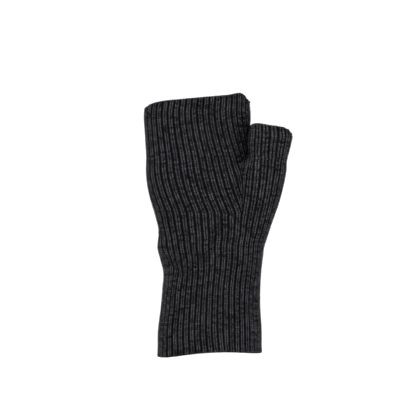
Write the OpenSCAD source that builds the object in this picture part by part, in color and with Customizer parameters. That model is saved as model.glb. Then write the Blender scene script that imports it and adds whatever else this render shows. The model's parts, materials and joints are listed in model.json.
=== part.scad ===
// Rib-knitted fingerless glove, in the shape it takes on a right hand.
// The wrist opening is centred on the origin, the fingers point up (+Z), the palm faces
// the front (-Y) and the thumb is on the right (+X). Every length is in millimetres.

/* [Glove] */
// Length from the wrist opening to the finger opening, along the middle of the glove
glove_length = 206; // [195:1:225]
// Width of the cuff near the wrist edge
cuff_width = 82; // [78:1:88]
// Depth of the cuff, palm side to back
cuff_depth = 52; // [46:1:58]
// Width across the narrow of the wrist
wrist_width = 77; // [72:1:82]
// Width across the knuckles
palm_width = 84; // [80:1:88]
// Depth across the knuckles
palm_depth = 36; // [32:1:40]
// Thickness of the knitted wall
wall = 2.4; // [2:0.1:3]

/* [Thumb] */
// Length from the wrist opening to the middle of the thumb opening
thumb_length = 182; // [178:1:186]
// Width of the thumb sleeve just below its opening
thumb_width = 32; // [30:1:34]
// Depth of the thumb sleeve
thumb_depth = 31; // [28:1:33]
// How far the thumb stands forward of the middle of the hand
thumb_forward = 7; // [5:0.5:9]

/* [Edges] */
// Height of the knitted band at each opening
band = 6; // [4:0.5:8]
// How far a band swells past the wall
band_swell = 0.4; // [0:0.1:0.8]
// Diameter of the yarn
yarn = 1.6; // [1.2:0.1:2]

/* [Facets] */
// Points round the hand
hand_points = 44; // [32:4:56]
// Points round the thumb
thumb_points = 28; // [24:2:40]
// Height between two rings of points
ring_step = 5; // [4:0.5:8]

/* [Hidden] */

knit_colour = "#28282b";
edge_colour = "#222225";
yarn_colour = "#333337";

// Squareness of a section: 2 is an ellipse, more is nearer a rectangle
hand_power = 2.3;
thumb_power = 2.05;
// Slope of each opening, as rise over run along X
wrist_slope = 0.045;
finger_slope = 0.09;
thumb_slope = -0.165;
// The wrist bends between these two heights
cuff_top = 56;
hand_bottom = 80;
// The thumb bends between two planes that lean this far to the right, at these distances
// from the origin
thumb_tilt = 36.87;
root_start = 146;
root_end = 158;

cuff_x = cuff_width / 2;
wrist_x = wrist_width / 2;
palm_middle = -10;
palm_left = palm_middle - palm_width / 2;
palm_right = palm_middle + palm_width / 2;
cuff_y = cuff_depth / 2;
palm_y = palm_depth / 2;
thumb_y = thumb_depth / 2;
thumb_right = 65.4;
thumb_left = thumb_right - thumb_width;
thumb_middle = (thumb_left + thumb_right) / 2;
cut = 400;

// Sections of the hand's tube: height, left side, right side, half depth, middle in Y
hand_rows = [
    [-10, -cuff_x + 0.6, cuff_x - 0.8, cuff_y, 0],
    [18, -cuff_x, cuff_x, cuff_y, 0],
    [38, -cuff_x + 2.4, cuff_x - 1.2, cuff_y - 1.2, 0],
    [54, -wrist_x + 1.2, wrist_x + 1.2, cuff_y - 2.6, 0],
    [66, -wrist_x + 2.1, wrist_x + 1.9, cuff_y - 3.6, 0],
    [76, -wrist_x - 0.2, wrist_x + 3, cuff_y - 4, 0],
    [84, -wrist_x - 2.4, wrist_x + 4.2, cuff_y - 4.4, 0],
    [98, -wrist_x - 1.4, wrist_x + 3.6, palm_y + 3.2, 0],
    [113, palm_left + 8.6, palm_right + 6.4, palm_y + 2, 0],
    [130, palm_left + 3.6, palm_right + 3, palm_y + 1, 0],
    [146, palm_left + 1.4, palm_right + 0.6, palm_y + 0.5, 0],
    [158, palm_left + 1.6, palm_right - 0.6, palm_y + 0.2, 0],
    [178, palm_left + 0.4, palm_right - 0.6, palm_y, 0],
    [194, palm_left - 0.4, palm_right, palm_y - 0.4, 0],
    [204, palm_left + 2.4, palm_right - 1.4, palm_y - 1.2, 0],
    [222, palm_left + 6, palm_right - 6, palm_y - 2.4, 0]
];

// Sections of the thumb's tube, from inside the wrist up past the thumb opening
thumb_rows = [
    [80, 20, 39, 9, 0],
    [88, 19.5, 43.2, 11, -0.5],
    [97, 18.5, 46.2, 13, -1.5],
    [108, 16.5, 49.8, thumb_y - 1.5, -2.6],
    [121, 15, 54.4, thumb_y - 0.3, -3.8],
    [134, 17.5, 58, thumb_y + 0.8, -thumb_forward + 2],
    [146, 22.5, 60.4, thumb_y + 1.2, -thumb_forward + 1.2],
    [157, 30.6, 62, thumb_y + 0.9, -thumb_forward + 0.4],
    [165, thumb_left - 2.8, 64.2, thumb_y + 0.4, -thumb_forward],
    [172, thumb_left - 2.7, thumb_right + 0.2, thumb_y, -thumb_forward],
    [178, thumb_left - 1.8, thumb_right - 0.8, thumb_y - 0.7, -thumb_forward],
    [186, thumb_left + 0.8, thumb_right - 3.4, thumb_y - 1.6, -thumb_forward],
    [200, thumb_left + 2, thumb_right - 6, thumb_y - 3, -thumb_forward]
];

// The row at height z, on a smooth curve through a table's rows
function span_of(rows, z, i = 0) =
    i >= len(rows) - 2 || z < rows[i + 1][0] ? i : span_of(rows, z, i + 1);
function rate(rows, i) =
    let (a = max(i - 1, 0), b = min(i + 1, len(rows) - 1))
    (rows[b] - rows[a]) / (rows[b][0] - rows[a][0]);
function row_at(rows, z) =
    let (i = span_of(rows, z),
         h = rows[i + 1][0] - rows[i][0],
         t = (z - rows[i][0]) / h)
    rows[i] * (2 * t^3 - 3 * t^2 + 1) + rate(rows, i) * h * (t^3 - 2 * t^2 + t)
    + rows[i + 1] * (3 * t^2 - 2 * t^3) + rate(rows, i + 1) * h * (t^3 - t^2);

// A point of the section at height z, drawn in by inset, at an angle round it
function bent(v, power) = sign(v) * abs(v) ^ (2 / power);
function section_point(rows, power, z, angle, inset) =
    let (r = row_at(rows, z))
    [(r[1] + r[2]) / 2 + ((r[2] - r[1]) / 2 - inset) * bent(cos(angle), power),
     r[4] + (r[3] - inset) * bent(sin(angle), power),
     z];

// A closed solid through rings of equal count
module loft(rings) {
    n = len(rings[0]);
    last = len(rings) - 1;
    polyhedron(
        points = [for (r = rings) each r],
        faces = concat(
            [[for (k = [0:n - 1]) k]],
            [for (i = [0:last - 1], k = [0:n - 1])
                [i * n + k, (i + 1) * n + k, (i + 1) * n + (k + 1) % n, i * n + (k + 1) % n]],
            [[for (k = [n - 1:-1:0]) last * n + k]]),
        convexity = 6);
}

// A table's tube between two heights, which are rounded out to whole rings
module tube(rows, power, count, inset, low, high) {
    first = max(floor(low / ring_step) * ring_step, rows[0][0]);
    top = min(ceil(high / ring_step) * ring_step, rows[len(rows) - 1][0]);
    steps = round((top - first) / ring_step);
    loft([for (i = [0:steps])
        let (z = first + (top - first) * i / steps)
        [for (k = [0:count - 1]) section_point(rows, power, z, 360 * k / count, inset)]]);
}
module hand_solid(inset, low, high) {
    tube(hand_rows, hand_power, hand_points, inset, low, high);
}
module thumb_solid(inset, low, high) {
    tube(thumb_rows, thumb_power, thumb_points, inset, low, high);
}

// The hand's wall, with the way through to the thumb open
module hand_wall(low, high, swell = 0) {
    difference() {
        hand_solid(-swell, low, high);
        hand_solid(wall, low - ring_step, high + ring_step);
        if (high > hand_bottom) thumb_solid(wall, low, high);
    }
}

// The thumb's wall, where it stands outside the hand's tube
module thumb_wall(low, high, swell = 0) {
    difference() {
        thumb_solid(-swell, low, high);
        thumb_solid(wall, low - ring_step, high + ring_step);
        hand_solid(0, low - ring_step, high + ring_step);
    }
}

// Everything above a plane through [0, 0, height] that rises by slope along X
module above(height, slope = 0) {
    translate([0, 0, height]) rotate([0, -atan(slope), 0]) translate([-cut, -cut, 0]) cube(2 * cut);
}

// Everything past the plane that leans by thumb_tilt, this far from the origin
module beyond(distance) {
    rotate([0, thumb_tilt, 0]) translate([-cut, -cut, distance]) cube(2 * cut);
}

wrist_rise = ceil(cuff_x * wrist_slope);
finger_rise = ceil(palm_width * finger_slope);
thumb_top = thumb_length - thumb_slope * thumb_middle;
thumb_rise = ceil(-thumb_slope * thumb_width);

module wrist_edge() {
    color(edge_colour) difference() {
        intersection() {
            hand_wall(-wrist_rise, band + wrist_rise, band_swell);
            above(0, wrist_slope);
        }
        above(band, wrist_slope);
    }
}

module cuff_tube() {
    color(knit_colour) difference() {
        intersection() {
            hand_wall(band - wrist_rise, cuff_top);
            above(band, wrist_slope);
        }
        above(cuff_top);
    }
}

module wrist_section() {
    color(knit_colour) difference() {
        intersection() {
            hand_wall(cuff_top, hand_bottom);
            above(cuff_top);
        }
        above(hand_bottom);
    }
}

module hand_tube() {
    color(knit_colour) difference() {
        intersection() {
            hand_wall(hand_bottom, glove_length);
            above(hand_bottom);
        }
        above(glove_length - band, finger_slope);
    }
}

module finger_edge() {
    color(edge_colour) difference() {
        intersection() {
            hand_wall(glove_length - band - finger_rise, glove_length + finger_rise, band_swell);
            above(glove_length - band, finger_slope);
        }
        above(glove_length, finger_slope);
    }
}

module thumb_gusset() {
    color(knit_colour) difference() {
        thumb_wall(hand_bottom, root_start + 25);
        beyond(root_start);
    }
}

module thumb_root() {
    color(knit_colour) difference() {
        intersection() {
            thumb_wall(130, root_end + 22);
            beyond(root_start);
        }
        beyond(root_end);
    }
}

module thumb_sleeve() {
    color(knit_colour) difference() {
        intersection() {
            thumb_wall(145, thumb_length + thumb_rise);
            beyond(root_end);
        }
        above(thumb_top - band, thumb_slope);
    }
}

module thumb_edge() {
    color(edge_colour) difference() {
        intersection() {
            thumb_wall(thumb_length - band - thumb_rise, thumb_length + thumb_rise, band_swell);
            above(thumb_top - band, thumb_slope);
        }
        above(thumb_top, thumb_slope);
    }
}

// A strand of yarn: a tube of eight sides along a list of points
function unit(v) = v / norm(v);
module strand(points) {
    last = len(points) - 1;
    loft([for (i = [0:last])
        let (along = unit(points[min(i + 1, last)] - points[max(i - 1, 0)]),
             side = unit(cross(along, [0.1, 1, 0.05])),
             up = cross(side, along))
        [for (k = [0:7]) points[i] + yarn / 2 * (side * cos(45 * k) - up * sin(45 * k))]]);
}

// The yarn's ends are darned into the inside of the wall: angle turns by sway as they rise
tail_inset = wall + yarn / 2 + 0.2;
module tail(rows, power, low, high, angle, sway) {
    steps = ceil((high - low) / 4);
    color(yarn_colour)
        strand([for (i = [0:steps])
            section_point(rows, power, low + (high - low) * i / steps,
                          angle + sway * sin(360 * i / steps), tail_inset)]);
}
module cast_on_tail() { tail(hand_rows, hand_power, 8, 42, 262, 1.5); }
module bind_off_tail() { tail(hand_rows, hand_power, 156, 190, 118, 1.5); }
module thumb_tail() { tail(thumb_rows, thumb_power, 166, 173, 70, 0.5); }

// The gusset is joined to the palm by a line of picked-up stitches inside the wall
module gusset_join() {
    steps = 8;
    color(yarn_colour)
        strand([for (i = [0:steps])
            let (z = 114 + 34 * i / steps)
            section_point(hand_rows, hand_power, z, 306 + 6 * i / steps, tail_inset)]);
}

wrist_edge();
cuff_tube();
cast_on_tail();
wrist_section();
hand_tube();
finger_edge();
bind_off_tail();
thumb_gusset();
gusset_join();
thumb_root();
thumb_sleeve();
thumb_edge();
thumb_tail();
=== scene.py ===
import json
import math

import bpy
import numpy as np
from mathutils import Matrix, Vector
from mathutils.bvhtree import BVHTree

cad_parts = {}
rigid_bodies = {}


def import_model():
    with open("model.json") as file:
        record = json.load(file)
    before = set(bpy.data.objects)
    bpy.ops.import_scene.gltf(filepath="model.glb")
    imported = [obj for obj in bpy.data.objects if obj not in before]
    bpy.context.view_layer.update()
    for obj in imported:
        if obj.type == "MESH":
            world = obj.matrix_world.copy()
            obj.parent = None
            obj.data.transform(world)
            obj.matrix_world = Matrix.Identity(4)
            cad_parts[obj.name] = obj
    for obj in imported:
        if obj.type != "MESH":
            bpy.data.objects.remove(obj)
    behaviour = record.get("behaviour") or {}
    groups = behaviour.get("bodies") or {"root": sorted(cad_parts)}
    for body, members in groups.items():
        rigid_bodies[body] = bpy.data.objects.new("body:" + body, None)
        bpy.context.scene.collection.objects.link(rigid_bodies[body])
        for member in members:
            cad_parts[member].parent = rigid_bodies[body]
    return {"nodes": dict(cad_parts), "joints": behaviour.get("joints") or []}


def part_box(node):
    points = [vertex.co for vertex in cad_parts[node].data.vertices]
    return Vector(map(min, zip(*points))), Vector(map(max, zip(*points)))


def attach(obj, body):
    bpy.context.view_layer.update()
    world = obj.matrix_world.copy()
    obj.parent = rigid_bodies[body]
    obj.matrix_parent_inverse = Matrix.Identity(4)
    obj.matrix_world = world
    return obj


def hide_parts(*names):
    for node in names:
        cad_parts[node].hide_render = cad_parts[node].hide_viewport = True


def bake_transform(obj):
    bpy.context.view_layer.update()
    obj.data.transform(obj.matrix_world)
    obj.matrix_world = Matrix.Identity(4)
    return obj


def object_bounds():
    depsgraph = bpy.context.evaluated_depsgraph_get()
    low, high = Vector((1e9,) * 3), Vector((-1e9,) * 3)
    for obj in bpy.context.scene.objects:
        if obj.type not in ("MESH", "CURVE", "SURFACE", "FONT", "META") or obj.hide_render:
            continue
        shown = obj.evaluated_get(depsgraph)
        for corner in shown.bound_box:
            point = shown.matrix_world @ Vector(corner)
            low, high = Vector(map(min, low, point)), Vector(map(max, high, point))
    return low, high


# A rib-knitted fingerless glove, knitted here stitch by stitch on the CAD model's surface.
# The ribs run up from the wrist. Above the wrist they part along a slanting join: the hand's
# ribs keep their distance from the little-finger side, and the thumb's from the thumb side.

for start_object in list(bpy.data.objects):
    bpy.data.objects.remove(start_object)
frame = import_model()
cad_low, cad_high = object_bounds()
rng = np.random.default_rng(46)

MM = 0.001

# ---- sizes of the knitting
HAND_ROWS = 108  # rows of stitches from the wrist opening to the finger opening
THUMB_ROWS = 96  # the same to the thumb opening
HAND_RIBS_LOW = 32  # ribs of the hand below the join's foot, front and back together
THUMB_RIBS_LOW = 15  # ribs of the thumb side below the join's foot
THUMB_RIBS_TOP = 16  # ribs round the thumb sleeve
LEVEL = 1.5 * MM  # height between two measured sections
ROUND = 61  # points measured across a section's front or back
HALF = 48  # points kept from the middle line of a sheet to its edge
EVENED = 4  # times that the measured sections are evened out
SETTLED = 5  # times that a height is found again from its place across
FAR = 1.0  # a distance outside the glove to measure from
DZ, DQ = 1.0 * MM, 0.8 * MM  # steps up and across for measuring a direction
TINY = 1e-12  # added to a divisor that may be nothing

HAND_NODES = ("wrist_edge", "cuff_tube", "wrist_section", "hand_tube", "finger_edge")
THUMB_NODES = ("thumb_gusset", "thumb_root", "thumb_sleeve", "thumb_edge")

# ---- where the fabric bends
joints = {j["name"]: j for j in frame["joints"]}
wrist_pivot = Vector(joints["wrist_bend"]["pos_m"])


def smooth(low, high, value):
    """0 below low, 1 above high, and an even turn between them."""
    t = np.clip((np.asarray(value, float) - low) / (high - low), 0, 1)
    return t * t * (3 - 2 * t)


def bump(middle, width, value):
    """1 at the middle, falling evenly to nothing on either side."""
    return np.exp(-((np.asarray(value, float) - middle) / width) ** 2)


def unit(rows):
    """Rows of directions, each made one long."""
    return rows / (np.linalg.norm(rows, axis=1, keepdims=True) + TINY)


# ---- the CAD model's surface
def tree_of(names):
    """The surface of several CAD nodes together, to measure from."""
    points, faces = [], []
    for name in names:
        mesh = frame["nodes"][name].data
        base = len(points)
        points.extend(v.co.copy() for v in mesh.vertices)
        faces.extend([base + i for i in p.vertices] for p in mesh.polygons)
    return BVHTree.FromPolygons(points, faces)


def reach(tree, start, direction):
    """Where a line from outside the glove first meets it, or nothing."""
    return tree.ray_cast(Vector(start), Vector(direction))[0]


PEAK_AT, PEAK_WIDTH = 0.85, 0.13  # across a rim, which runs from -1 at its left to 1
ARCH_POWERS = (1.7, 2.5)  # how squarely its arch falls off to the left and the right


class Rim:
    """A glove opening's rim: a slanting line across X whose corners are rounded off."""

    def __init__(self, node, side, rise, corners, arch=0.0, peak=0.0):
        """Side 1 is the node's top and -1 its bottom. Corners are (drop, sharpness) at the left
        and the right. The rim's middle is arched inwards, and a peak stands near its right."""
        co = np.array([v.co for v in frame["nodes"][node].data.vertices])
        self.left, self.right = co[:, 0].min(), co[:, 0].max()
        ends = []
        for x in (self.left, self.right):
            near = co[np.abs(co[:, 0] - x) < 2 * MM, 2]
            ends.append(near.max() if side > 0 else near.min())
        self.slope = (ends[1] - ends[0]) / (self.right - self.left)
        self.start = ends[0] - self.slope * self.left + rise
        self.side = side
        self.corners = corners
        self.arch = arch
        self.peak = peak

    def height(self, x):
        """The rim's height at each X."""
        t = np.clip((2 * x - self.left - self.right) / (self.right - self.left), -1, 1)
        (left_drop, left_power), (right_drop, right_power) = self.corners
        off = np.abs(t)
        drop = np.where(t < 0, left_drop * off ** left_power, right_drop * off ** right_power)
        inward = drop + self.arch * (1 - off ** np.where(t < 0, *ARCH_POWERS))
        inward = inward - self.peak * bump(PEAK_AT, PEAK_WIDTH, t)
        return self.start + self.slope * x - self.side * inward

    def normal(self):
        """The direction out of the opening."""
        return np.array([-self.slope, 0, 1]) / math.hypot(self.slope, 1) * self.side


wrist_rim = Rim("wrist_edge", -1, 0, ((1.7 * MM, 9), (1.2 * MM, 9)), arch=3.9 * MM)
finger_rim = Rim("finger_edge", 1, 0.2 * MM, ((4.4 * MM, 7), (6.2 * MM, 14)), peak=1.4 * MM)
thumb_rim = Rim("thumb_edge", 1, 1.2 * MM, ((3.6 * MM, 8), (3.6 * MM, 6)))

hand_tree = tree_of(HAND_NODES)
thumb_tree = tree_of(THUMB_NODES)
glove_tree = tree_of(HAND_NODES + THUMB_NODES)
thumb_low, thumb_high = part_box("thumb_edge")
sleeve_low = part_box("thumb_sleeve")[0]
gusset_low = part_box("thumb_gusset")[0]
join_low, join_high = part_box("gusset_join")
palm_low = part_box("hand_tube")[0]
cuff_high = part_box("cuff_tube")[1]
thumb_x = (thumb_low.x + thumb_high.x) / 2
thumb_y = (thumb_low.y + thumb_high.y) / 2
apex_z = join_low.z

# Between whole_low and whole_high, or thumb_whole on the thumb, no opening cuts a section.
# Beyond them the last whole section is used again.
whole_low = wrist_rim.start + wrist_rim.slope * cuff_high.x + 1 * MM
whole_high = finger_rim.start + finger_rim.slope * palm_low.x - 1 * MM
thumb_whole = thumb_rim.start + thumb_rim.slope * thumb_high.x - 1 * MM
heights = np.arange(cad_low.z - 3 * MM, cad_high.z + 4 * MM, LEVEL)

# Where a section is measured across its width, closer together at its ends
spread = (1 - np.cos(np.linspace(0, math.pi, ROUND))) / 2


def side_y(z):
    """How far forward the thumb side's middle line runs at height z."""
    return thumb_y * float(smooth(gusset_low.z, sleeve_low.z, z))


def curve(tree, z, left, right, face):
    """The front (face -1) or the back of a section, from its left end to its right end."""
    out = [left]
    for t in spread[1:-1]:
        x = left[0] + (right[0] - left[0]) * t
        found = reach(tree, (x, face * FAR, z), (0, -face, 0))
        if found:
            out.append((found.x, found.y, z))
    out.append(right)
    return np.array(out)


def section(tree, z, left, right):
    """The front and the back of a section."""
    return curve(tree, z, left, right, -1), curve(tree, z, left, right, 1)


def along(points):
    """The distance along a line of points to each of them."""
    return np.concatenate([[0], np.cumsum(np.linalg.norm(np.diff(points, axis=0), axis=1))])


def resample(points, start, end, count):
    """Evenly spaced points along a line, between two distances along it."""
    where = along(points)
    target = np.linspace(start, end, count)
    return np.stack([np.interp(target, where, points[:, i]) for i in range(3)], axis=1)


JOIN_SHARE = 0.683  # of the way across from the little-finger side
JOIN_SWING = 0.024  # how much further it swings out at the wrist
JOIN_RISE = 0.010  # and how much further it stays above


def join_share(z):
    """How far across the front or back the join, and the groove below it, runs."""
    return (JOIN_SHARE + JOIN_SWING * bump(82 * MM, 15 * MM, z)
            + JOIN_RISE * smooth(84 * MM, 98 * MM, z))


def hand_right(z, y=0.0):
    """The hand's right side at height z."""
    found = reach(hand_tree, (FAR, y, z), (-1, 0, 0))
    return found.x if found else -FAR


def thumb_left(z):
    """The thumb's left side at height z."""
    found = reach(thumb_tree, (-FAR, thumb_y, z), (1, 0, 0))
    return found.x if found else FAR


# The crotch is the lowest place well above the join where the hand and the thumb stand apart
CROTCH_LEAST, CROTCH_STEP = 10 * MM, 0.5 * MM
crotch_z = join_high.z + CROTCH_LEAST
while not 0 < hand_right(crotch_z, thumb_y) < thumb_left(crotch_z) < thumb_x:
    crotch_z += CROTCH_STEP
crotch_x = thumb_left(crotch_z)


class Sheet:
    """Fabric to either side of a middle line: the hand's round the little-finger side, or the
    thumb's round the thumb side. A place on it is a height and a distance round from the middle
    line, positive in front."""

    def __init__(self, turn, top, ribs_low):
        self.turn = turn  # 1 if the front runs to the right from the middle line
        self.top = top  # the rim that ends it
        self.ribs_low = ribs_low  # how many ribs it has below the join
        self.rows = []
        self.length = []

    def add(self, front, back, front_end, back_end):
        """Adds a section from its two curves, which start at the middle line."""
        ahead = resample(front, 0, front_end, HALF)
        behind = resample(back, 0, back_end, HALF)
        self.rows.append(np.concatenate([behind[::-1], ahead[1:]]))
        self.length.append((back_end, front_end))

    def close(self):
        """Evens out the sections, when all of them have been added."""
        self.rows = np.array(self.rows)
        self.length = np.array(self.length)
        for _ in range(EVENED):
            self.rows[1:-1] = (self.rows[:-2] + 2 * self.rows[1:-1] + self.rows[2:]) / 4
            self.length[1:-1] = (self.length[:-2] + 2 * self.length[1:-1] + self.length[2:]) / 4
            self.rows[:, 1:-1] = (self.rows[:, :-2] + 2 * self.rows[:, 1:-1] + self.rows[:, 2:]) / 4

    def reach_of(self, z, side):
        """Distance from the middle line to the sheet's edge at height z."""
        return np.interp(z, heights, self.length[:, 1 if side > 0 else 0])

    def edge(self, z, q):
        """The same, on the side on which q lies."""
        return np.where(q > 0, self.reach_of(z, 1), self.reach_of(z, -1))

    def point(self, z, q):
        """Places at heights z and signed distances q from the middle line."""
        z, q = np.broadcast_arrays(np.asarray(z, float), np.asarray(q, float))
        step = np.clip((z - heights[0]) / LEVEL, 0, len(heights) - 1.001)
        i = step.astype(int)
        f = (step - i)[..., None]
        across = (np.clip(q / self.edge(z, q), -1, 1) + 1) * (HALF - 1)
        k = np.clip(across.astype(int), 0, 2 * HALF - 3)
        g = (across - k)[..., None]
        low = self.rows[i, k] * (1 - g) + self.rows[i, k + 1] * g
        high = self.rows[i + 1, k] * (1 - g) + self.rows[i + 1, k + 1] * g
        out = low * (1 - f) + high * f
        out[..., 2] = z
        return out + fold(out) + ease(out)


# Names that end in _mm are in millimetres, as are the numbers beside them
CROTCH_MM, WRIST_MM = crotch_z / MM, wrist_pivot.z / MM
INDEX_END_MM = 33  # the hand lies to the left of this, and the thumb's sleeve to the right
SIDE_EASE = 0.8 * MM  # how much fuller the thumb side is than in CAD, below the crotch
INDEX_EASE = 1.0 * MM  # and the hand beside the thumb
TIP_EASE = 0.8 * MM  # and the thumb's outer side, near its opening
LITTLE_EASE = -0.5 * MM  # and the little-finger side
ROLL_EASE = -0.5 * MM  # and the wrinkle's roll


def in_mm(points):
    """The X, Y and Z of points in millimetres."""
    return points[..., 0] / MM, points[..., 1] / MM, points[..., 2] / MM


def ease(points):
    """How much fuller the knitting is than the CAD surface, to be added to its points."""
    x_mm, y_mm, z_mm = in_mm(points)
    up_mm = z_mm - CROTCH_MM
    side = smooth(10, 36, x_mm) * (1 - smooth(-12, -2, up_mm))
    index = smooth(20, 31, x_mm) * (x_mm < INDEX_END_MM) * smooth(-6, 0, y_mm) * smooth(-7, 1, up_mm)
    tip = smooth(45, 60, x_mm) * smooth(10, 18, up_mm)
    roll = smooth(30, 40, -x_mm) * bump(16, 7, z_mm - WRIST_MM)
    out = np.zeros_like(points)
    out[..., 0] = (SIDE_EASE * side + INDEX_EASE * index + TIP_EASE * tip
                   + LITTLE_EASE * smooth(20, 42, -x_mm) + ROLL_EASE * roll)
    return out


# The wrist wrinkles on the little-finger side: a roll of fabric hangs over a hollow that runs
# down and to the right
FOLD_HIGH_MM = (-40, 15 + WRIST_MM)  # X and Z of the hollow's ends
FOLD_LOW_MM = (-21, -3 + WRIST_MM)
HOLLOW_DEPTH = 2.3 * MM
ROLL_HEIGHT = 1.7 * MM
FOLD_ASIDE = 0.35  # how far it moves the glove's side, as a share of its height
FOLD_SIDE_MM = -20  # to the left of this


def fold(points):
    """The wrinkles' displacement, to be added to points on the smooth glove."""
    x_mm, y_mm, z_mm = in_mm(points)
    run = np.subtract(FOLD_LOW_MM, FOLD_HIGH_MM)
    run_mm = np.linalg.norm(run)
    run = run / run_mm
    right, up = x_mm - FOLD_HIGH_MM[0], z_mm - FOLD_HIGH_MM[1]
    down = (right * run[0] + up * run[1]) / run_mm
    off_mm = up * run[0] - right * run[1]
    fade = smooth(-0.9, 0.1, down) * (1 - smooth(0.75, 1.35, down)) * (1 - smooth(-6, 8, y_mm))
    amount = ROLL_HEIGHT * bump(6, 4.5, off_mm) - HOLLOW_DEPTH * bump(-1.5, 3.2, off_mm)
    out = np.zeros_like(points)
    out[..., 1] = -amount * fade
    out[..., 0] = -FOLD_ASIDE * amount * fade * (x_mm < FOLD_SIDE_MM)
    return out


hand = Sheet(1, finger_rim, HAND_RIBS_LOW)
thumb = Sheet(-1, thumb_rim, THUMB_RIBS_LOW)

JOIN_CORNER = 0.72  # how far up from its foot the join starts to turn to the crotch
join_x = None  # where the join stands, from the first section above its foot

for z in heights:
    inside = float(np.clip(z, whole_low, whole_high))
    left = (reach(hand_tree, (-FAR, 0, inside), (1, 0, 0)).x, 0, inside)
    if inside < crotch_z:
        y = side_y(inside)
        right = (reach(glove_tree, (FAR, y, inside), (-1, 0, 0)).x, y, inside)
        front, back = section(glove_tree, inside, left, right)
        shares = []
        for line in (front, back):
            where = along(line)
            share = where[-1] * join_share(inside)
            if inside > apex_z:
                if join_x is None:
                    join_x = np.interp(share, where, line[:, 0])
                corner = smooth(apex_z + JOIN_CORNER * (crotch_z - apex_z), crotch_z, inside)
                x = join_x * (1 - corner) + crotch_x * corner
                share = np.interp(x, line[:, 0], where)
            shares.append((share, where[-1] - share))
        (hand_front, thumb_front), (hand_back, thumb_back) = shares
        hand.add(front, back, hand_front, hand_back)
        thumb.add(front[::-1], back[::-1], thumb_front, thumb_back)
    else:
        right = (hand_right(inside), 0, inside)
        front, back = section(hand_tree, inside, left, right)
        hand.add(front, back, along(front)[-1], along(back)[-1])
        thumb_z = min(inside, thumb_whole)
        left = (thumb_left(thumb_z), thumb_y, thumb_z)
        right = (reach(thumb_tree, (FAR, thumb_y, thumb_z), (-1, 0, 0)).x, thumb_y, thumb_z)
        front, back = section(thumb_tree, thumb_z, left, right)
        thumb.add(front[::-1], back[::-1], along(front)[-1], along(back)[-1])
hand.close()
thumb.close()


# ---- the run of the ribs
# Grooves are numbered along a sheet, and ribs lie half way between them. Groove 0 is the one
# that the join grows out of: in the hand's sheet the numbers fall away from it towards the
# little-finger side, and in the thumb's towards the thumb side.
HAND_TURN = 13.75  # grooves from the hand's middle line to groove 0, near the finger opening
WRIST_TURN = 1.75  # how many more the wrist's twist brings round to the front
PALM_TURN = 0.6  # and how many more lie there low on the palm
THUMB_TURN = 7.1  # the same from the thumb's middle line, at the thumb
CUFF_TURN = 1.0  # and how many more at the cuff
CUFF_TWIST = (36 * MM, 70 * MM)  # the heights between which each of these changes
WRIST_TWIST = (76 * MM, 104 * MM)
PALM_TWIST = (110 * MM, 150 * MM)
PALM_HEIGHTS = np.array([110, 144, 158, 166, 178, 200]) * MM
PALM_PITCHES = np.array([5.50, 5.41, 5.12, 4.96, 4.77, 4.60]) * MM  # from groove to groove there
BACK_PITCH = 4.9 * MM  # and behind, at the finger opening
SLEEVE_PAST = 0.95  # grooves of the sleeve's front that lie past groove 0
SLEEVE = ((1, THUMB_TURN + SLEEVE_PAST), (-1, THUMB_RIBS_TOP - THUMB_TURN - SLEEVE_PAST))
LEAST_RIB = 0.16  # a rib that the join cuts narrower than this is left out


def ramp(low, high, value):
    """0 below low, 1 above high, and a straight line between them."""
    return np.clip((np.asarray(value, float) - low) / (high - low), 0, 1)


def groove_zero(sheet, z):
    """How many grooves lie from the middle line to groove 0 at heights z."""
    if sheet is thumb:
        return THUMB_TURN + CUFF_TURN * (1 - smooth(*CUFF_TWIST, z))
    return (HAND_TURN + PALM_TURN * (1 - smooth(*PALM_TWIST, z))
            + WRIST_TURN * (1 - smooth(*WRIST_TWIST, z)))


def palm_pitch(z):
    """The distance from groove to groove on the palm."""
    soft = 5 * MM
    return sum(w * np.interp(z + step, PALM_HEIGHTS, PALM_PITCHES)
               for w, step in ((0.25, -soft), (0.5, 0), (0.25, soft)))


def pitches(sheet, z):
    """The distances from groove to groove in front and behind, at heights z above the join's
    foot."""
    at_foot = groove_zero(sheet, apex_z)
    back_foot = sheet.reach_of(apex_z, -1) / (sheet.ribs_low - at_foot)
    if sheet is hand:
        return palm_pitch(z), back_foot + (BACK_PITCH - back_foot) * ramp(apex_z, whole_high, z)
    front_foot = sheet.reach_of(apex_z, 1) / at_foot
    turn = ramp(apex_z, crotch_z, z)
    tube = [sheet.reach_of(np.maximum(z, crotch_z), side) / count for side, count in SLEEVE]
    return front_foot + (tube[0] - front_foot) * turn, back_foot + (tube[1] - back_foot) * turn


def counts(sheet, z):
    """How many grooves lie in front of and behind the middle line at heights z, up to the join
    or to the sheet's edge."""
    z = np.asarray(z, float)
    zero = groove_zero(sheet, z)
    front, back = pitches(sheet, z)
    below = z <= apex_z
    return (np.where(below, zero, sheet.reach_of(z, 1) / front),
            np.where(below, sheet.ribs_low - zero, sheet.reach_of(z, -1) / back))


def rib_count(sheet, number, z):
    """The place of a groove or rib at heights z, counted from the middle line, and the share of
    its width that the join or the sheet's edge leaves."""
    front, back = counts(sheet, z)
    place = groove_zero(sheet, z) + number
    if number == round(number):
        return place, np.where((place < front + 0.05) & (place > -back - 0.05), 1.0, 0.0)
    cut_front = np.clip(place + 0.5 - front, 0, 1)
    cut_back = np.clip(0.5 - place - back, 0, 1)
    return place + (cut_back - cut_front) / 2, 1 - cut_front - cut_back


# The hand's ribs bow out towards the thumb: how far, at which height and over what spread
BOWS = ((1.2 * MM, 98 * MM, 14 * MM), (1.9 * MM, 0, 16 * MM))


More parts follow.
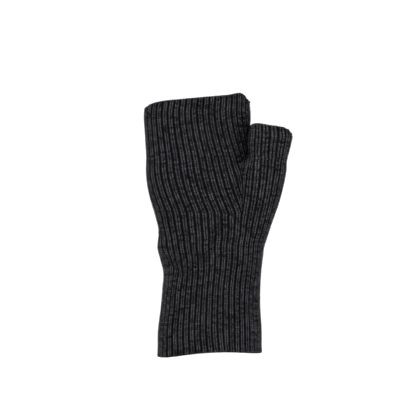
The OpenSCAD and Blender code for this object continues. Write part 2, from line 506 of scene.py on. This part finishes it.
def spread_out(sheet, place, z):
    """Turns a count from the middle line into a signed distance from it."""
    front, back = counts(sheet, z)
    ahead, behind = sheet.reach_of(z, 1), sheet.reach_of(z, -1)
    q = np.where(place > 0, place / front * ahead, place / back * behind)
    if sheet is hand:
        bow = sum(far * bump(height, spread, z) for far, height, spread in BOWS)
        q = q + bow * np.sin(math.pi * np.clip(place / front, 0, 1) ** 2)
    return np.clip(q, -behind, ahead)


SWAY, SWAY_LENGTH = 0.16 * MM, 15 * MM  # a rib isn't quite straight


def rib_place(sheet, number, z):
    """The signed distance from the middle line at which a rib runs, at heights z."""
    q = spread_out(sheet, rib_count(sheet, number, z)[0], z)
    sway = SWAY * math.sin(number * 2.4 + 1.0)
    return q + sway * np.sin(z / SWAY_LENGTH + number * 1.7)


def numbers_of(sheet, offset):
    """The numbers of a sheet's ribs, with offset 0.5, or of its grooves, with 0."""
    front, back = counts(sheet, heights)
    zero = groove_zero(sheet, heights)
    first, last = math.floor((-back - zero).min() - 0.5), math.ceil((front - zero).max() + 0.5)
    return [number + offset for number in range(first, last + 1)]


def row_heights(sheet, number):
    """The heights of the middles of a rib's rows."""
    rows = HAND_ROWS if sheet is hand else THUMB_ROWS
    count = np.arange(rows) + 0.5
    z = count / rows * (whole_high if sheet is hand else thumb_whole)
    for _ in range(SETTLED):
        x = sheet.point(z, rib_place(sheet, number, z))[:, 0]
        low = wrist_rim.height(x)
        z = low + (sheet.top.height(x) - low) * count / rows
    return z[rib_count(sheet, number, z)[1] > LEAST_RIB]


def facing(sheet, z, q, up):
    """The way across the fabric, as long as its step, and the way out of it."""
    across = (sheet.point(z, q + DQ) - sheet.point(z, q - DQ)) * sheet.turn
    return across, unit(np.cross(across, up))


def rib_frame(sheet, number, z):
    """Places, the directions out and up the rib, the width between its grooves and its rows'
    height, at heights z."""
    q = rib_place(sheet, number, z)
    step = (sheet.point(z + DZ, rib_place(sheet, number, z + DZ))
            - sheet.point(z - DZ, rib_place(sheet, number, z - DZ)))
    up = unit(step)
    across, out = facing(sheet, z, q, up)
    front, back = counts(sheet, z)
    pitch = sheet.edge(z, q) / np.where(q > 0, front, back)
    lean = np.linalg.norm(np.cross(across, up), axis=1) / (np.linalg.norm(across, axis=1) + TINY)
    pitch = pitch * lean * np.maximum(rib_count(sheet, number, z)[1], LEAST_RIB)
    rows = np.gradient(z) * np.linalg.norm(step, axis=1) / (2 * DZ)
    return sheet.point(z, q), out, up, pitch, rows


# ---- nodes
def add_node(tree, kind, inputs, **settings):
    """Adds a node, with its settings and with a socket or a value for each input named."""
    node = tree.nodes.new(kind)
    for name, value in settings.items():
        setattr(node, name, value)
    for name, value in inputs.items():
        if isinstance(value, bpy.types.NodeSocket):
            tree.links.new(value, node.inputs[name])
        else:
            node.inputs[name].default_value = value
    return node


def math_node(tree, operation, a, b=0.0):
    return add_node(tree, "ShaderNodeMath", {0: a, 1: b}, operation=operation).outputs[0]


def noise_node(tree, where, scale, detail):
    return add_node(tree, "ShaderNodeTexNoise",
                    {"Vector": where, "Scale": scale, "Detail": detail}).outputs["Fac"]


def range_node(tree, value, low, high, out_low=0.0, out_high=1.0):
    return add_node(tree, "ShaderNodeMapRange",
                    {"Value": value, "From Min": low, "From Max": high,
                     "To Min": out_low, "To Max": out_high}).outputs["Result"]


def add_sockets(group, side, kinds):
    """Gives a node group its inputs or outputs."""
    for name, kind in kinds.items():
        group.interface.new_socket(name, in_out=side, socket_type="NodeSocket" + kind)


# ---- stitches
def tube_faces(base, places, sides):
    """The faces of a closed tube whose points start at base, and their map. Places gives how far
    along the yarn each of its rings lies, from 0 to 1."""
    faces, uvs = [], []
    for i, (v0, v1) in enumerate(zip(places, places[1:])):
        low, high = base + i * sides, base + (i + 1) * sides
        for k in range(sides):
            n = (k + 1) % sides
            faces.append((low + k, low + n, high + n, high + k))
            u0, u1 = k / sides, (k + 1) / sides
            uvs.extend([(u0, v0), (u1, v0), (u1, v1), (u0, v1)])
    top = base + (len(places) - 1) * sides
    faces.append(tuple(range(base + sides - 1, base - 1, -1)))
    faces.append(tuple(range(top, top + sides)))
    uvs.extend([(0.5, 0.0)] * sides + [(0.5, 1.0)] * sides)
    return faces, uvs


def store(mesh, name, values):
    """Keeps a number or a direction for each of a mesh's points."""
    kind, key = ("FLOAT_VECTOR", "vector") if np.ndim(values) > 1 else ("FLOAT", "value")
    layer = mesh.attributes.new(name, kind, "POINT")
    layer.data.foreach_set(key, np.asarray(values, np.float32).ravel())


def mapped_mesh(name, points, faces, uvs):
    """A smooth mesh with a map of the yarn."""
    mesh = bpy.data.meshes.new(name)
    mesh.from_pydata(points, [], faces)
    layer = mesh.uv_layers.new(name="yarn")
    if uvs:
        layer.data.foreach_set("uv", np.array(uvs, np.float32).ravel())
    mesh.shade_smooth()
    return mesh


# Painted light and shade on a stitch, from how far out it stands and from which side it shows: shade
# where it tucks in and on its inner side, light at its crown and on its outer side
CROWN_PAINTED_LIGHT, CROWN_POWER, SIDE_PAINTED_LIGHT = 0.85, 1.5, 0.30


def tube_mesh(paths, radii, sides):
    """Closed tubes along short paths, with a radius across and a radius in depth at each point.
    The map runs round the yarn and along it, and the painted light is 1 at the crown of the stitch
    and falls to painted shade where it tucks in."""
    points, faces, uvs, painted_light = [], [], [], []
    for path, (wide, deep) in zip(paths, radii):
        count = len(path)
        more = tube_faces(len(points), [i / (count - 1) for i in range(count)], sides)
        faces.extend(more[0])
        uvs.extend(more[1])
        crown = max(p[1] for p in path)
        deepest = min(p[1] for p in path)
        for i, (x, out, z) in enumerate(path):
            before, after = path[max(i - 1, 0)], path[min(i + 1, count - 1)]
            lean = math.atan2(after[0] - before[0], (after[2] - before[2]) or TINY)
            shown = (out - deepest) / max(crown - deepest, TINY)
            for k in range(sides):
                a = 2 * math.pi * k / sides
                cx, cy = math.cos(a) * wide[i], math.sin(a) * deep[i]
                points.append((x + cx * math.cos(lean), -out + cy, z - cx * math.sin(lean)))
                # painted light: lighter at the crown and on the outer side, painted shade on the
                # inner side
                bright = CROWN_PAINTED_LIGHT * shown ** CROWN_POWER - SIDE_PAINTED_LIGHT * math.sin(a)
                painted_light.append(max(0.0, min(1.0, bright)))
    mesh = mapped_mesh("stitch", points, faces, uvs)
    store(mesh, "painted_light", painted_light)
    return mesh


# A knit stitch's leg: across in rib spacings, depth in millimetres and height in rows
LEG_FOOT, LEG_LEAN = 0.105, 0.16  # how far out it starts, and how much further it ends
LEG_SUNK, LEG_ARCH = -1.0, 1.33  # the depth that it arches up from, and how far
LEG_HALF = 0.63  # half its height
LEG_WIDE, LEG_DEEP = 0.122, 0.5  # the yarn's radii


def knit_stitch(sides, rings):
    """A knit stitch: two legs that rise from the middle and lean outwards."""
    legs, radii = [], []
    for side in (-1, 1):
        path, wide, deep = [], [], []
        for i in range(rings):
            t = i / (rings - 1)
            arch = LEG_SUNK + LEG_ARCH * math.sin(math.pi * (0.08 + 0.80 * t))
            path.append((side * (LEG_FOOT + LEG_LEAN * t), arch, LEG_HALF * (2 * t - 1)))
            full = math.sin(math.pi * (0.17 + 0.66 * t)) ** 0.6
            wide.append(LEG_WIDE * full)
            deep.append(LEG_DEEP * full)
        legs.append(path)
        radii.append((wide, deep))
    return tube_mesh(legs, radii, sides)


def purl_stitch():
    """A purl bump: a short arch of yarn across the groove between two ribs."""
    path = [(0.24 * t, -0.35 - 0.35 * t * t, 0.15 - 0.3 * t * t) for t in (-1, -1 / 3, 1 / 3, 1)]
    return tube_mesh([path], [([0.2] * 4, [0.35] * 4)], 5)


knit = bpy.data.objects.new("knit_stitch", knit_stitch(6, 5))
knit_light = bpy.data.objects.new("knit_stitch_inner", knit_stitch(5, 4))
purl = bpy.data.objects.new("purl_stitch", purl_stitch())


def stitch_tree():
    """Geometry Nodes: a stitch on every point, turned by the point's own directions."""
    tree = bpy.data.node_groups.new("knit_the_rows", "GeometryNodeTree")
    tree.is_modifier = True
    add_sockets(tree, "INPUT", {"Rows": "Geometry", "Stitch": "Object", "Depth": "Float",
                                "Yarn": "Material"})
    add_sockets(tree, "OUTPUT", {"Fabric": "Geometry"})
    start = tree.nodes.new("NodeGroupInput").outputs
    of_point = {}
    for name, kind in (("rise", "FLOAT_VECTOR"), ("across", "FLOAT_VECTOR"),
                       ("width", "FLOAT"), ("height", "FLOAT"), ("swell", "FLOAT")):
        of_point[name] = add_node(tree, "GeometryNodeInputNamedAttribute", {"Name": name},
                                  data_type=kind).outputs["Attribute"]
    info = add_node(tree, "GeometryNodeObjectInfo", {"Object": start["Stitch"]})
    turn = add_node(tree, "FunctionNodeAxesToRotation",
                    {"Primary Axis": of_point["rise"], "Secondary Axis": of_point["across"]},
                    primary_axis="Z", secondary_axis="X")
    size = add_node(tree, "ShaderNodeCombineXYZ", {
        "X": of_point["width"],
        "Y": math_node(tree, "MULTIPLY", of_point["swell"], start["Depth"]),
        "Z": of_point["height"]})
    place = add_node(tree, "GeometryNodeInstanceOnPoints", {
        "Points": start["Rows"], "Instance": info.outputs["Geometry"],
        "Rotation": turn.outputs["Rotation"], "Scale": size.outputs[0]})
    real = add_node(tree, "GeometryNodeRealizeInstances", {0: place.outputs[0]})
    paint = add_node(tree, "GeometryNodeSetMaterial",
                     {"Geometry": real.outputs[0], "Material": start["Yarn"]})
    add_node(tree, "NodeGroupOutput", {0: paint.outputs[0]})
    return tree


knit_tree = stitch_tree()
socket_of = {item.name: item.identifier for item in knit_tree.interface.items_tree}


SWELL = 0.07  # how much the stitches' thickness varies
FOLD_SHADE_TONE = 0.75  # how much darker the painted shade in the fold beside the thumb makes them


def painted_fold_shade(place):
    """Where shade is painted on the palm's stitches beside the thumb, in the fold that lies in shadow
    there.
    """
    x_mm, y_mm, z_mm = in_mm(place)
    across = smooth(18, 24, x_mm) * (x_mm < INDEX_END_MM + 0.5) * (1 - smooth(-2, 6, y_mm))
    return across * smooth(-6, 0, z_mm - CROTCH_MM) * (1 - smooth(24, 40, z_mm - CROTCH_MM))


def put_in(name, data):
    """Puts a mesh, a lamp or a camera into the scene as an object."""
    thing = bpy.data.objects.new(name, data)
    bpy.context.scene.collection.objects.link(thing)
    return thing


def knitted(name, stitches, stitch, material):
    """A plain mesh of one stitch repeated over rows of (place, out, up, width, height)."""
    place, out, up, width, height = (np.concatenate(column) for column in zip(*stitches))
    points = bpy.data.meshes.new(name + "_points")
    points.from_pydata([tuple(p) for p in place], [], [])
    swell = 1 + SWELL * rng.standard_normal(len(place))
    # Each stitch's tone is random, less the painted shade of the fold beside the thumb
    tone = rng.random(len(place)) - FOLD_SHADE_TONE * painted_fold_shade(place)
    for key, values in (("rise", up), ("across", np.cross(up, out)), ("width", width),
                        ("height", height), ("swell", swell), ("tone", tone)):
        store(points, key, values)
    maker = put_in(name + "_maker", points)
    modifier = maker.modifiers.new("knit", "NODES")
    modifier.node_group = knit_tree
    modifier[socket_of["Stitch"]] = stitch
    modifier[socket_of["Depth"]] = 1 * MM
    modifier[socket_of["Yarn"]] = material
    graph = bpy.context.evaluated_depsgraph_get()
    mesh = bpy.data.meshes.new_from_object(maker.evaluated_get(graph), depsgraph=graph)
    bpy.data.objects.remove(maker)
    mesh.name = name
    for key in ("rise", "across", "width", "height", "swell"):
        if key in mesh.attributes:
            mesh.attributes.remove(mesh.attributes[key])
    return put_in(name, mesh)


# ---- finishes
def wool_group():
    """Heathered two-ply wool: its colour, darkened by painted shade where a stitch tucks in, and the
    height of its plies and fibres.
    """
    group = bpy.data.node_groups.new("heathered_wool", "ShaderNodeTree")
    add_sockets(group, "INPUT", {"Dark": "Color", "Light": "Color", "Twist": "Float",
                                 "Flecks": "Float"})
    add_sockets(group, "OUTPUT", {"Colour": "Color", "Height": "Float"})
    start = group.nodes.new("NodeGroupInput").outputs
    place = group.nodes.new("ShaderNodeTexCoord").outputs["Object"]
    yarn = add_node(group, "ShaderNodeUVMap", {}, uv_map="yarn")
    split = add_node(group, "ShaderNodeSeparateXYZ", {0: yarn.outputs["UV"]})
    wound = math_node(group, "ADD", math_node(group, "MULTIPLY", split.outputs["X"], 2.0),
                      math_node(group, "MULTIPLY", split.outputs["Y"], start["Twist"]))
    plies = math_node(group, "SINE", math_node(group, "MULTIPLY", wound, 2 * math.pi))
    plies = math_node(group, "POWER", range_node(group, plies, -1, 1), 0.5)
    fibres = noise_node(group, place, 2600.0, 3.0)
    flecks = noise_node(group, place, 620.0, 2.0)
    clouds = noise_node(group, place, 60.0, 2.0)
    tone = add_node(group, "ShaderNodeAttribute", {}, attribute_name="tone")
    painted_light = add_node(group, "ShaderNodeAttribute", {}, attribute_name="painted_light")
    amount = math_node(group, "MULTIPLY", range_node(group, flecks, 0.40, 0.66), start["Flecks"])
    # The tone's range reaches down to the painted shade of the fold beside the thumb
    for part in (range_node(group, fibres, 0.3, 0.75, 0.0, 0.35),
                 range_node(group, clouds, 0.3, 0.7, -0.08, 0.08),
                 range_node(group, tone.outputs["Fac"], -1, 1, -0.64, 0.28)):
        amount = math_node(group, "ADD", amount, part)
    # Painted shade: the yarn darkens towards the dark colour where its painted light is low, at
    # tucked-in ends and inner sides
    amount = math_node(group, "MULTIPLY", amount,
                       range_node(group, painted_light.outputs["Fac"], 0.15, 0.95, 0.04, 1.0))
    mix = add_node(group, "ShaderNodeMix",
                   {"Factor": amount, "A": start["Dark"], "B": start["Light"]}, data_type="RGBA")
    height = math_node(group, "ADD", plies, math_node(group, "MULTIPLY", fibres, 0.8))
    add_node(group, "NodeGroupOutput", {"Colour": mix.outputs["Result"], "Height": height})
    return group


wool = wool_group()


def yarn_material(name, dark, light, twist, flecks, sheen):
    """A yarn finish: dark and light are the heather's two colours, and the painted shade falls
    towards dark.
    """
    material = bpy.data.materials.new(name)
    material.use_nodes = True
    tree = material.node_tree
    shader = tree.nodes["Principled BSDF"]
    fibre = add_node(tree, "ShaderNodeGroup", {
        "Dark": (*dark, 1), "Light": (*light, 1), "Twist": twist, "Flecks": flecks}, node_tree=wool)
    raised = add_node(tree, "ShaderNodeBump", {
        "Strength": 0.55, "Distance": 0.12 * MM, "Height": fibre.outputs["Height"]})
    tree.links.new(fibre.outputs["Colour"], shader.inputs["Base Color"])
    tree.links.new(raised.outputs["Normal"], shader.inputs["Normal"])
    for key, value in (("Roughness", 0.92), ("Specular IOR Level", 0.03),
                       ("Sheen Weight", sheen), ("Sheen Roughness", 0.5),
                       ("Sheen Tint", (0.75, 0.77, 0.85, 1))):
        shader.inputs[key].default_value = value
    return material


rib_wool = yarn_material("charcoal_rib", (0.0034, 0.0034, 0.0040), (0.075, 0.0745, 0.0825),
                         twist=1.2, flecks=0.6, sheen=0.02)
# The grooves' and the backing's yarn is the same charcoal painted much darker: painted shade in the
# grooves between the ribs
shaded_back_wool = yarn_material("charcoal_back_painted_shade", (0.0018, 0.0018, 0.0021), (0.013, 0.013, 0.0147),
                          twist=1.2, flecks=0.4, sheen=0.0)
# The edges' yarn is the rib's yarn painted a little darker: painted shade that dims the light the
# chains' crowns catch at the rims
edge_wool = yarn_material("charcoal_edge", (0.0028, 0.0028, 0.0033), (0.064, 0.063, 0.070),
                          twist=1.2, flecks=0.6, sheen=0.02)
tail_wool = yarn_material("charcoal_yarn", (0.012, 0.012, 0.0135), (0.10, 0.098, 0.106),
                          twist=14.0, flecks=0.5, sheen=0.12)


# ---- the ribs
CUFF_END = 46 * MM  # below this is the cuff's piece of ribbing
WRIST_END = 92 * MM  # and below this the wrist's
ROOT_START = 150 * MM  # the palm and the gusset end here
SINK = 0.35 * MM  # how deep a stitch's middle line lies in the wall
PURL_SINK = 0.75 * MM
INNER = 1.80 * MM  # depth of the inner side's stitches
SLACK_LIFT = 0.75 * MM  # how much less a purl bump sinks where the ribbing is slack
SLACK_WIDTH = 0.18  # and how much wider a knit stitch is there
JITTER = 0.05 * MM  # how unevenly the stitches lie


def slackness(place):
    """1 where the ribbing is slack and its grooves close up, and 0 where it is stretched."""
    x_mm, _, z_mm = in_mm(place)
    up_mm = z_mm - CROTCH_MM
    patch = bump(-34, 6.5, x_mm) * bump(65, 13, z_mm)
    sleeve = 0.85 * smooth(-12, 6, up_mm) * smooth(30, 34, x_mm)
    side = 0.40 * smooth(22, 34, x_mm) * (1 - smooth(0, 1, up_mm))
    return np.clip(patch + sleeve + side, 0, 1)


def rib_rows(rows):
    """Rows of knit stitches, moved into the wall and wider where the ribbing is slack."""
    place, out, up, width, height = rows
    return place - out * SINK, out, up, width * (1 + SLACK_WIDTH * slackness(place)), height


def groove_rows(rows):
    """Rows of purl bumps, moved into the wall, but not so deep where the ribbing is slack."""
    place, out, up, width, height = rows
    depth = PURL_SINK - SLACK_LIFT * slackness(place)
    return place - out * depth[:, None], out, up, width, height


def turned(rows, depth):
    """Rows of stitches moved to the wall's inner side and faced inwards."""
    place, out, up, width, height = rows
    return place - out * depth, -out, up, width, height


def parts_of(rows, z, cuts):
    """Splits a rib's rows at heights, as a list with one entry for each band."""
    return [tuple(a[(z > low) & (z <= high)] for a in rows) for low, high in zip(cuts, cuts[1:])]


def knit_sheet(sheet, names, cuts):
    """Knits a sheet's ribs, its grooves and its inner side, as one list of rows for each band."""
    made = {name: {"ribs": [], "purls": [], "inside": []} for name in names}
    for number in numbers_of(sheet, 0.5) + numbers_of(sheet, 0):
        z = row_heights(sheet, number)
        if len(z) < 3:
            continue
        rows = rib_frame(sheet, number, z)
        jitter = rng.normal(0, JITTER, (len(z), 3))
        rows = (rows[0] + jitter,) + rows[1:]
        for name, band in zip(names, parts_of(rows, z, cuts)):
            if len(band[0]) == 0:
                continue
            if number == round(number):
                made[name]["purls"].append(groove_rows(band))
                made[name]["inside"].append(turned(band, INNER))
            else:
                made[name]["ribs"].append(rib_rows(band))
    return made


CUTS = [-1, CUFF_END, WRIST_END, ROOT_START, 1]
knitting = knit_sheet(hand, ["cuff", "wrist", "palm", "knuckle"], CUTS)
side_knitting = knit_sheet(thumb, ["cuff", "wrist", "gusset", "thumb"], CUTS)
for name in ("cuff", "wrist"):
    for part in knitting[name]:
        knitting[name][part] += side_knitting[name][part]
knitting["gusset"] = side_knitting["gusset"]
knitting["thumb"] = side_knitting["thumb"]


def join(name, pieces):
    """Several meshes as one piece."""
    with bpy.context.temp_override(active_object=pieces[0], selected_editable_objects=pieces):
        bpy.ops.object.join()
    pieces[0].name = name
    pieces[0].data.name = name
    return pieces[0]


fabric = {}
for name, part in knitting.items():
    ribs = knitted(name + "_front", part["ribs"], knit, rib_wool)
    # The purl bumps are painted with the shaded yarn: painted shade in the grooves
    grooves = knitted(name + "_grooves", part["purls"], purl, shaded_back_wool)
    fabric[name + "_ribs"] = join(name + "_ribs", [ribs, grooves])
    fabric[name + "_inside"] = knitted(name + "_inside", part["inside"], knit_light, rib_wool)


# ---- the backing
BACK_TOP = 0.85 * MM  # depth of the backing's outer face
BACK_LOW = 1.35 * MM  # and of its inner face
BACK_STEP = 2.5 * MM  # between its rows
BACK_COLUMNS = 97  # across a sheet
RIM_GAP = 0.2 * MM  # from a rim to its end
OVERLAP = 0.5 * MM  # of the backing's parts, at the crotch


def level(z):
    """A rule for a row that stays at one height."""
    return lambda x: np.full_like(x, z)


def sheet_row(sheet, rule, columns):
    """Points along a sheet from its back edge to its front edge, at heights that a rule gives for
    each X, and the outward directions there."""
    share = np.linspace(-1, 1, columns)
    x = np.zeros_like(share)
    for _ in range(SETTLED):
        z = rule(x)
        q = share * sheet.edge(z, share)
        x = sheet.point(z, q)[:, 0]
    out = facing(sheet, z, q, sheet.point(z + DZ, q) - sheet.point(z - DZ, q))[1]
    return sheet.point(z, q)[::sheet.turn], out[::sheet.turn]


def backing_grid(sheets, low, high, depth):
    """Points of several sheets side by side, at a depth in the wall: rows up from low to high."""
    steps = max(2, int(round((high(np.zeros(1))[0] - low(np.zeros(1))[0]) / BACK_STEP)))
    rows = []
    for i in range(steps + 1):
        f = i / steps
        parts = [sheet_row(s, lambda x: low(x) * (1 - f) + high(x) * f, BACK_COLUMNS) for s in sheets]
        rows.append(np.concatenate([place - out * depth for place, out in parts]))
    return np.array(rows)


def shell_mesh(outer, inner, ring):
    """A closed shell between two grids. With ring, each row's ends meet."""
    if ring:
        outer, inner = outer[:, :-1], inner[:, :-1]
    half = outer.shape[0] * outer.shape[1]
    index = np.arange(half).reshape(outer.shape[:2])
    if ring:
        index = np.concatenate([index, index[:, :1]], axis=1)
    faces = []
    for low, high in zip(index, index[1:]):
        for a, b, c, d in zip(low, low[1:], high[1:], high):
            faces += [(a, b, c, d), (half + a, half + d, half + c, half + b)]
    for a, b, c, d in zip(index[0], index[0, 1:], index[-1], index[-1, 1:]):
        faces += [(a, half + a, half + b, b), (c, d, half + d, half + c)]
    if not ring:
        for a, b, c, d in zip(index[:, 0], index[1:, 0], index[:, -1], index[1:, -1]):
            faces += [(a, b, half + b, half + a), (c, half + c, half + d, d)]
    return np.concatenate([outer.reshape(-1, 3), inner.reshape(-1, 3)]), faces


def plain_piece(name, points, faces, uvs, shade, material):
    """A piece with one tone and one painted light all over, which shade gives."""
    mesh = mapped_mesh(name, points, faces, uvs)
    for key, value in zip(("tone", "painted_light"), shade):
        store(mesh, key, [value] * len(points))
    mesh.validate()
    mesh.materials.append(material)
    return put_in(name, mesh)


def backing(name, parts):
    """A piece made of closed shells: (sheets, low, high, ring). Low and high are rules for the
    first and last rows, and with ring each row's ends meet."""
    points, faces = [], []
    for sheets, low, high, ring in parts:
        outer = backing_grid(sheets, low, high, BACK_TOP)
        inner = backing_grid(sheets, low, high, BACK_LOW)
        more_points, more_faces = shell_mesh(outer, inner, ring)
        faces.extend(tuple(int(v) + len(points) for v in face) for face in more_faces)
        points.extend(more_points.tolist())
    # The backing is the shaded yarn with a low painted light: painted shade seen deep in the grooves
    return plain_piece(name, points, faces, None, (0.5, 0.3), shaded_back_wool)


def below_rim(rim):
    """A rule for a row that stays just inside an opening."""
    return lambda x: rim.height(x) - rim.side * RIM_GAP


fabric["cuff_backing"] = backing("cuff_backing", [
    ([hand, thumb], below_rim(wrist_rim), level(WRIST_END), True)])
fabric["hand_backing"] = backing("hand_backing", [
    ([hand], level(WRIST_END), level(crotch_z + OVERLAP), False),
    ([hand], level(crotch_z), below_rim(finger_rim), True)])
fabric["thumb_backing"] = backing("thumb_backing", [
    ([thumb], level(WRIST_END), level(crotch_z + OVERLAP), False),
    ([thumb], level(crotch_z), below_rim(thumb_rim), True)])


# ---- the openings' edges
LINK = 2.3 * MM  # length of an edge's link
LINK_WIDTH = 3.6 * MM
CHAIN_SINK = 1.0 * MM  # how deep the edge lies in the wall
STEEP_SINK = 0.8 * MM  # and how much deeper where it runs steeply
CHAIN_DROP = 0.1 * MM  # how far inside the opening it lies


def chain_frame(line, up, out):
    """Directions up a chain and square to it, on the side of out."""
    up = unit(up)
    out = np.tile(out, (len(line), 1))
    return unit(out - up * np.einsum("ij,ij->i", out, up)[:, None]), up


def edge_chain(name, sheets, rim):
    """A chain of links round an opening, over the ends of the ribs."""
    ring = []
    for sheet in sheets:
        place, out = sheet_row(sheet, rim.height, 4 * BACK_COLUMNS)
        steep = np.abs(unit(np.gradient(place, axis=0))[:, 2:])
        ring.append(place - out * (CHAIN_SINK + STEEP_SINK * steep))
    ring = np.concatenate(ring + [ring[0][:1]]) - rim.normal() * CHAIN_DROP
    where = along(ring)
    total = where[-1]
    count = int(round(total / LINK))
    target = (np.arange(count) + 0.5) * total / count

    def place_at(distance):
        return np.stack([np.interp(distance % total, where, ring[:, i]) for i in range(3)], axis=1)

    line = place_at(target)
    out, up = chain_frame(line, place_at(target + 1 * MM) - place_at(target - 1 * MM), rim.normal())
    rows = (line, out, up, np.full(count, LINK_WIDTH), np.full(count, total / count))
    return knitted(name, [rows], knit, edge_wool)


wrist_chain = edge_chain("wrist_edge_chain", [hand, thumb], wrist_rim)
finger_chain = edge_chain("finger_edge_chain", [hand], finger_rim)
thumb_chain = edge_chain("thumb_edge_chain", [thumb], thumb_rim)


# ---- yarn ends and the join
YARN = 0.8 * MM  # half the yarn's thickness
TAIL_TWIST = 2 * math.pi / (5 * MM)
TAIL_STEP = 0.45 * MM  # between two rings of a darned end
TAIL_SIDES = 12
TAIL_DIP = 0.7 * MM  # how deep it dips under a stitch
TAIL_SINK = 0.5 * MM  # and how deep it lies
JOIN_STEP = 1.9 * MM  # height of the join's stitches


def middle_of(node, step):
    """The middle line of a strand's CAD node, as evenly spaced points."""
    co = np.unique(np.round([v.co for v in frame["nodes"][node].data.vertices], 6), axis=0)
    low, high = co[:, 2].min(), co[:, 2].max()
    levels = np.linspace(low + YARN, high - YARN, 12)
    line = np.array([co[np.abs(co[:, 2] - z) < 2.6 * MM].mean(0) for z in levels])
    line[:, 2] = levels
    length = along(line)[-1]
    return resample(line, 0, length, max(4, int(length / step)))


def yarn_tail(name, node, inward):
    """A yarn end darned into the wall's inner side: two plies wound round each other. It dips
    under a stitch and comes up again, and inward is the way from the wall to the hand."""
    line = middle_of(node, TAIL_STEP)
    where = along(line)
    inward = np.array(inward, float)
    line = line + inward * (TAIL_DIP * np.sin(where / (1.15 * MM)) - TAIL_SINK)[:, None]
    side = unit(np.cross(np.gradient(line, axis=0), inward))
    deep = np.cross(side, unit(np.gradient(line, axis=0)))
    turns = 2 * math.pi * np.arange(TAIL_SIDES) / TAIL_SIDES
    ply = 0.70 + 0.30 * np.abs(np.cos(turns - TAIL_TWIST * where[:, None] / 2))
    end = np.minimum(1.0, 0.35 + 4 * np.minimum(where, where[-1] - where) / (6 * YARN))
    radius = (YARN * ply * end[:, None])[..., None]
    round_it = side[:, None] * np.cos(turns)[:, None] + deep[:, None] * np.sin(turns)[:, None]
    points = (line[:, None] + radius * round_it).reshape(-1, 3).tolist()
    faces, uvs = tube_faces(0, list(where / where[-1]), TAIL_SIDES)
    return plain_piece(name, points, faces, uvs, (0.6, 0.8), tail_wool)


cast_on_end = yarn_tail("cast_on_yarn_end", "cast_on_tail", (0, 1, 0))
bind_off_end = yarn_tail("bind_off_yarn_end", "bind_off_tail", (0.3, -1, 0))
thumb_end = yarn_tail("thumb_yarn_end", "thumb_tail", (-0.3, -1, 0))


def join_chain(name, node, inward):
    """The picked-up stitches of the join, as a chain on the wall's inner side."""
    line = middle_of(node, JOIN_STEP)
    step = np.gradient(line, axis=0)
    out, up = chain_frame(line, step, np.array(inward, float))
    rows = (line, out, up, np.full(len(line), LINK_WIDTH), np.linalg.norm(step, axis=1))
    return knitted(name, [rows], knit, tail_wool)


gusset_chain = join_chain("gusset_join_chain", "gusset_join", (-0.3, 1, 0))


# ---- placing
for name in ("cuff_ribs", "cuff_inside", "wrist_ribs", "wrist_inside", "cuff_backing"):
    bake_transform(fabric[name])
for name in ("palm_ribs", "palm_inside", "knuckle_ribs", "knuckle_inside", "hand_backing"):
    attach(fabric[name], "hand")
for name in ("gusset_ribs", "gusset_inside", "thumb_ribs", "thumb_inside", "thumb_backing"):
    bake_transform(fabric[name])
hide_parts("cuff_tube")
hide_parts("wrist_section")
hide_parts("hand_tube")
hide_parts("thumb_gusset")
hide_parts("thumb_root", "thumb_sleeve")

for piece, node, body, slot in (
        (wrist_chain, "wrist_edge", "cuff", "edge_knit"),
        (finger_chain, "finger_edge", "hand", "edge_knit"),
        (thumb_chain, "thumb_edge", "thumb", "edge_knit"),
        (cast_on_end, "cast_on_tail", "cuff", "yarn"),
        (bind_off_end, "bind_off_tail", "hand", "yarn"),
        (thumb_end, "thumb_tail", "thumb", "yarn"),
        (gusset_chain, "gusset_join", "hand", "yarn")):
    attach(piece, body)
    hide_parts(node)

# ---- floor, light and camera
CAMERA_AWAY = 2.0
VIEW_WIDTH = 0.3328  # across the picture, at the glove
SENSOR = 36.0
VIEW_X, VIEW_Z = -1.2 * MM, 118 * MM  # the picture's middle
LIT = Vector((0, 0, 110 * MM))  # what the lights point at
FLOOR_SIDES, FLOOR_RADIUS = 64, 6.0
FLOOR_BELOW = 60 * MM  # the glove is held up above the floor
SKY = 1.08  # strength of the light from all round

pale = bpy.data.materials.new("pale_floor")
pale.use_nodes = True
shader = pale.node_tree.nodes["Principled BSDF"]
shader.inputs["Base Color"].default_value = (1, 1, 1, 1)
shader.inputs["Roughness"].default_value = 0.9
floor_turns = [2 * math.pi * i / FLOOR_SIDES for i in range(FLOOR_SIDES)]
floor_mesh = bpy.data.meshes.new("floor")
floor_mesh.from_pydata([(FLOOR_RADIUS * math.cos(a), FLOOR_RADIUS * math.sin(a), 0)
                        for a in floor_turns], [], [tuple(range(FLOOR_SIDES))])
floor_mesh.materials.append(pale)
floor = put_in("floor", floor_mesh)
floor.location.z = cad_low.z - FLOOR_BELOW

world = bpy.data.worlds.new("studio")
bpy.context.scene.world = world
world.use_nodes = True
sky = world.node_tree.nodes["Background"]
sky.inputs["Color"].default_value = (1, 1, 1, 1)
sky.inputs["Strength"].default_value = SKY


def soft_light(name, place, size, power):
    """A square lamp that faces the glove."""
    light = bpy.data.lights.new(name, "AREA")
    light.shape = "SQUARE"
    light.size = size
    light.energy = power
    lamp = put_in(name, light)
    lamp.location = place
    lamp.rotation_euler = (LIT - Vector(place)).to_track_quat("-Z", "Y").to_euler()


soft_light("key_light", (-0.9, -1.3, 1.3), 0.9, 21)
soft_light("fill_light", (1.2, -1.2, 0.7), 1.0, 11.5)

camera = bpy.data.cameras.new("camera")
camera.sensor_width = SENSOR
camera.lens = SENSOR * CAMERA_AWAY / VIEW_WIDTH
viewer = put_in("camera", camera)
viewer.location = (VIEW_X, -CAMERA_AWAY, VIEW_Z)
viewer.rotation_euler = (math.pi / 2, 0, 0)
bpy.context.scene.camera = viewer
bpy.context.scene.view_settings.view_transform = "Standard"
